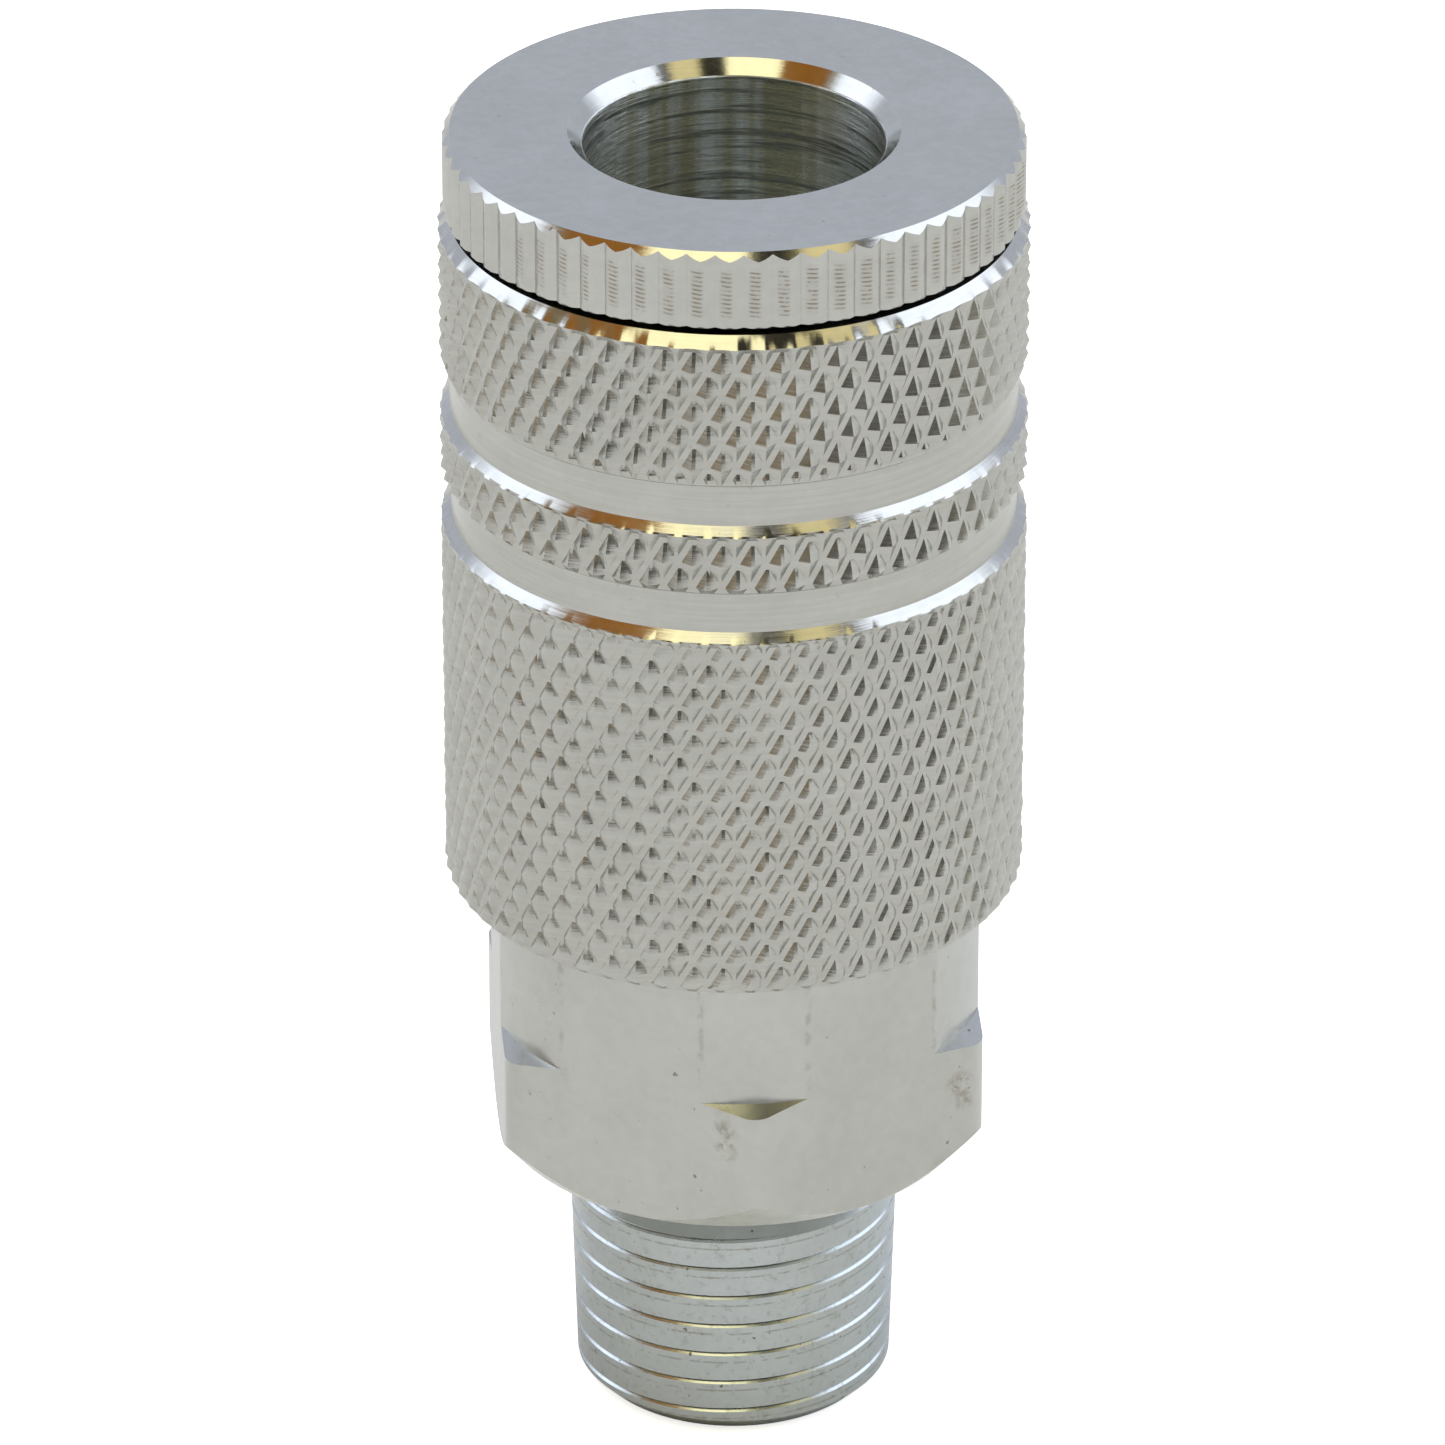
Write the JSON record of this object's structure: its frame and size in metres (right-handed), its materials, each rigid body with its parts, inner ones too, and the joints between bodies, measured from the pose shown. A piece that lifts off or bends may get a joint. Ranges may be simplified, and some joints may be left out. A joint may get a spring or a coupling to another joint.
{
  "type": "quick disconnect coupler",
  "caption": "Pneumatic quick disconnect coupler with a knurled sliding sleeve, ball lock, shut-off valve and male taper pipe thread.",
  "frame": {"origin": "centre of the threaded end's face, which the coupler stands on", "axes": "+Z along the coupler's axis, towards the front face that the plug enters; hex corners point along +Y and -Y and two wrench flats face +X and -X"},
  "size_m": [0.0242, 0.0242, 0.0579],
  "materials": {
    "plated_steel": "bright plated, knurled and turned",
    "ball_steel": "polished",
    "spring_steel": "drawn wire",
    "brass": "turned",
    "rubber": "matte black"
  },
  "bodies": {
    "coupler_body": {"barrel": "plated_steel", "hex_adapter": "plated_steel", "nose_seal": "rubber", "valve_seat_ring": "brass", "seat_snap_ring": "spring_steel", "valve_guide": "brass", "joint_gasket": "rubber", "valve_spring": "spring_steel"},
    "spring_set": {"sleeve_spring": "spring_steel", "spring_washer": "spring_steel"},
    "sliding_sleeve": {"sleeve": "plated_steel"},
    "valve": {"valve_poppet": "brass", "valve_stem": "spring_steel", "valve_seal": "rubber"},
    "ball_1": {"locking_ball_1": "ball_steel"},
    "ball_2": {"locking_ball_2": "ball_steel"},
    "ball_3": {"locking_ball_3": "ball_steel"},
    "ball_4": {"locking_ball_4": "ball_steel"},
    "ball_5": {"locking_ball_5": "ball_steel"},
    "ball_6": {"locking_ball_6": "ball_steel"}
  },
  "joints": [
    {"name": "sleeve_spin", "type": "hinge", "parent": "coupler_body", "child": "spring_set", "pos_m": [0, 0, 0.0316], "axis": [0, 0, 1], "continuous": true},
    {"name": "sleeve_slide", "type": "slide", "parent": "spring_set", "child": "sliding_sleeve", "axis": [0, 0, -1], "range_m": [0, 0.0058], "stiffness_N_per_m": 2000, "springref_m": -0.006, "deforming": ["sleeve_spring"]},
    {"name": "valve_slide", "type": "slide", "parent": "coupler_body", "child": "valve", "axis": [0, 0, -1], "range_m": [0, 0.0028], "stiffness_N_per_m": 500, "springref_m": -0.005, "deforming": ["valve_spring"]},
    {"name": "ball_1_slide", "type": "slide", "parent": "coupler_body", "child": "ball_1", "axis": [1, 0, 0], "range_m": [0, 0.0012]},
    {"name": "ball_2_slide", "type": "slide", "parent": "coupler_body", "child": "ball_2", "axis": [0.5, 0.866, 0], "range_m": [0, 0.0012]},
    {"name": "ball_3_slide", "type": "slide", "parent": "coupler_body", "child": "ball_3", "axis": [-0.5, 0.866, 0], "range_m": [0, 0.0012]},
    {"name": "ball_4_slide", "type": "slide", "parent": "coupler_body", "child": "ball_4", "axis": [-1, 0, 0], "range_m": [0, 0.0012]},
    {"name": "ball_5_slide", "type": "slide", "parent": "coupler_body", "child": "ball_5", "axis": [-0.5, -0.866, 0], "range_m": [0, 0.0012]},
    {"name": "ball_6_slide", "type": "slide", "parent": "coupler_body", "child": "ball_6", "axis": [0.5, -0.866, 0], "range_m": [0, 0.0012]}
  ],
  "couplings": [
    {"joint": "ball_1_slide", "follows": "sleeve_slide", "ratio": 0.2069},
    {"joint": "ball_2_slide", "follows": "sleeve_slide", "ratio": 0.2069},
    {"joint": "ball_3_slide", "follows": "sleeve_slide", "ratio": 0.2069},
    {"joint": "ball_4_slide", "follows": "sleeve_slide", "ratio": 0.2069},
    {"joint": "ball_5_slide", "follows": "sleeve_slide", "ratio": 0.2069},
    {"joint": "ball_6_slide", "follows": "sleeve_slide", "ratio": 0.2069}
  ]
}
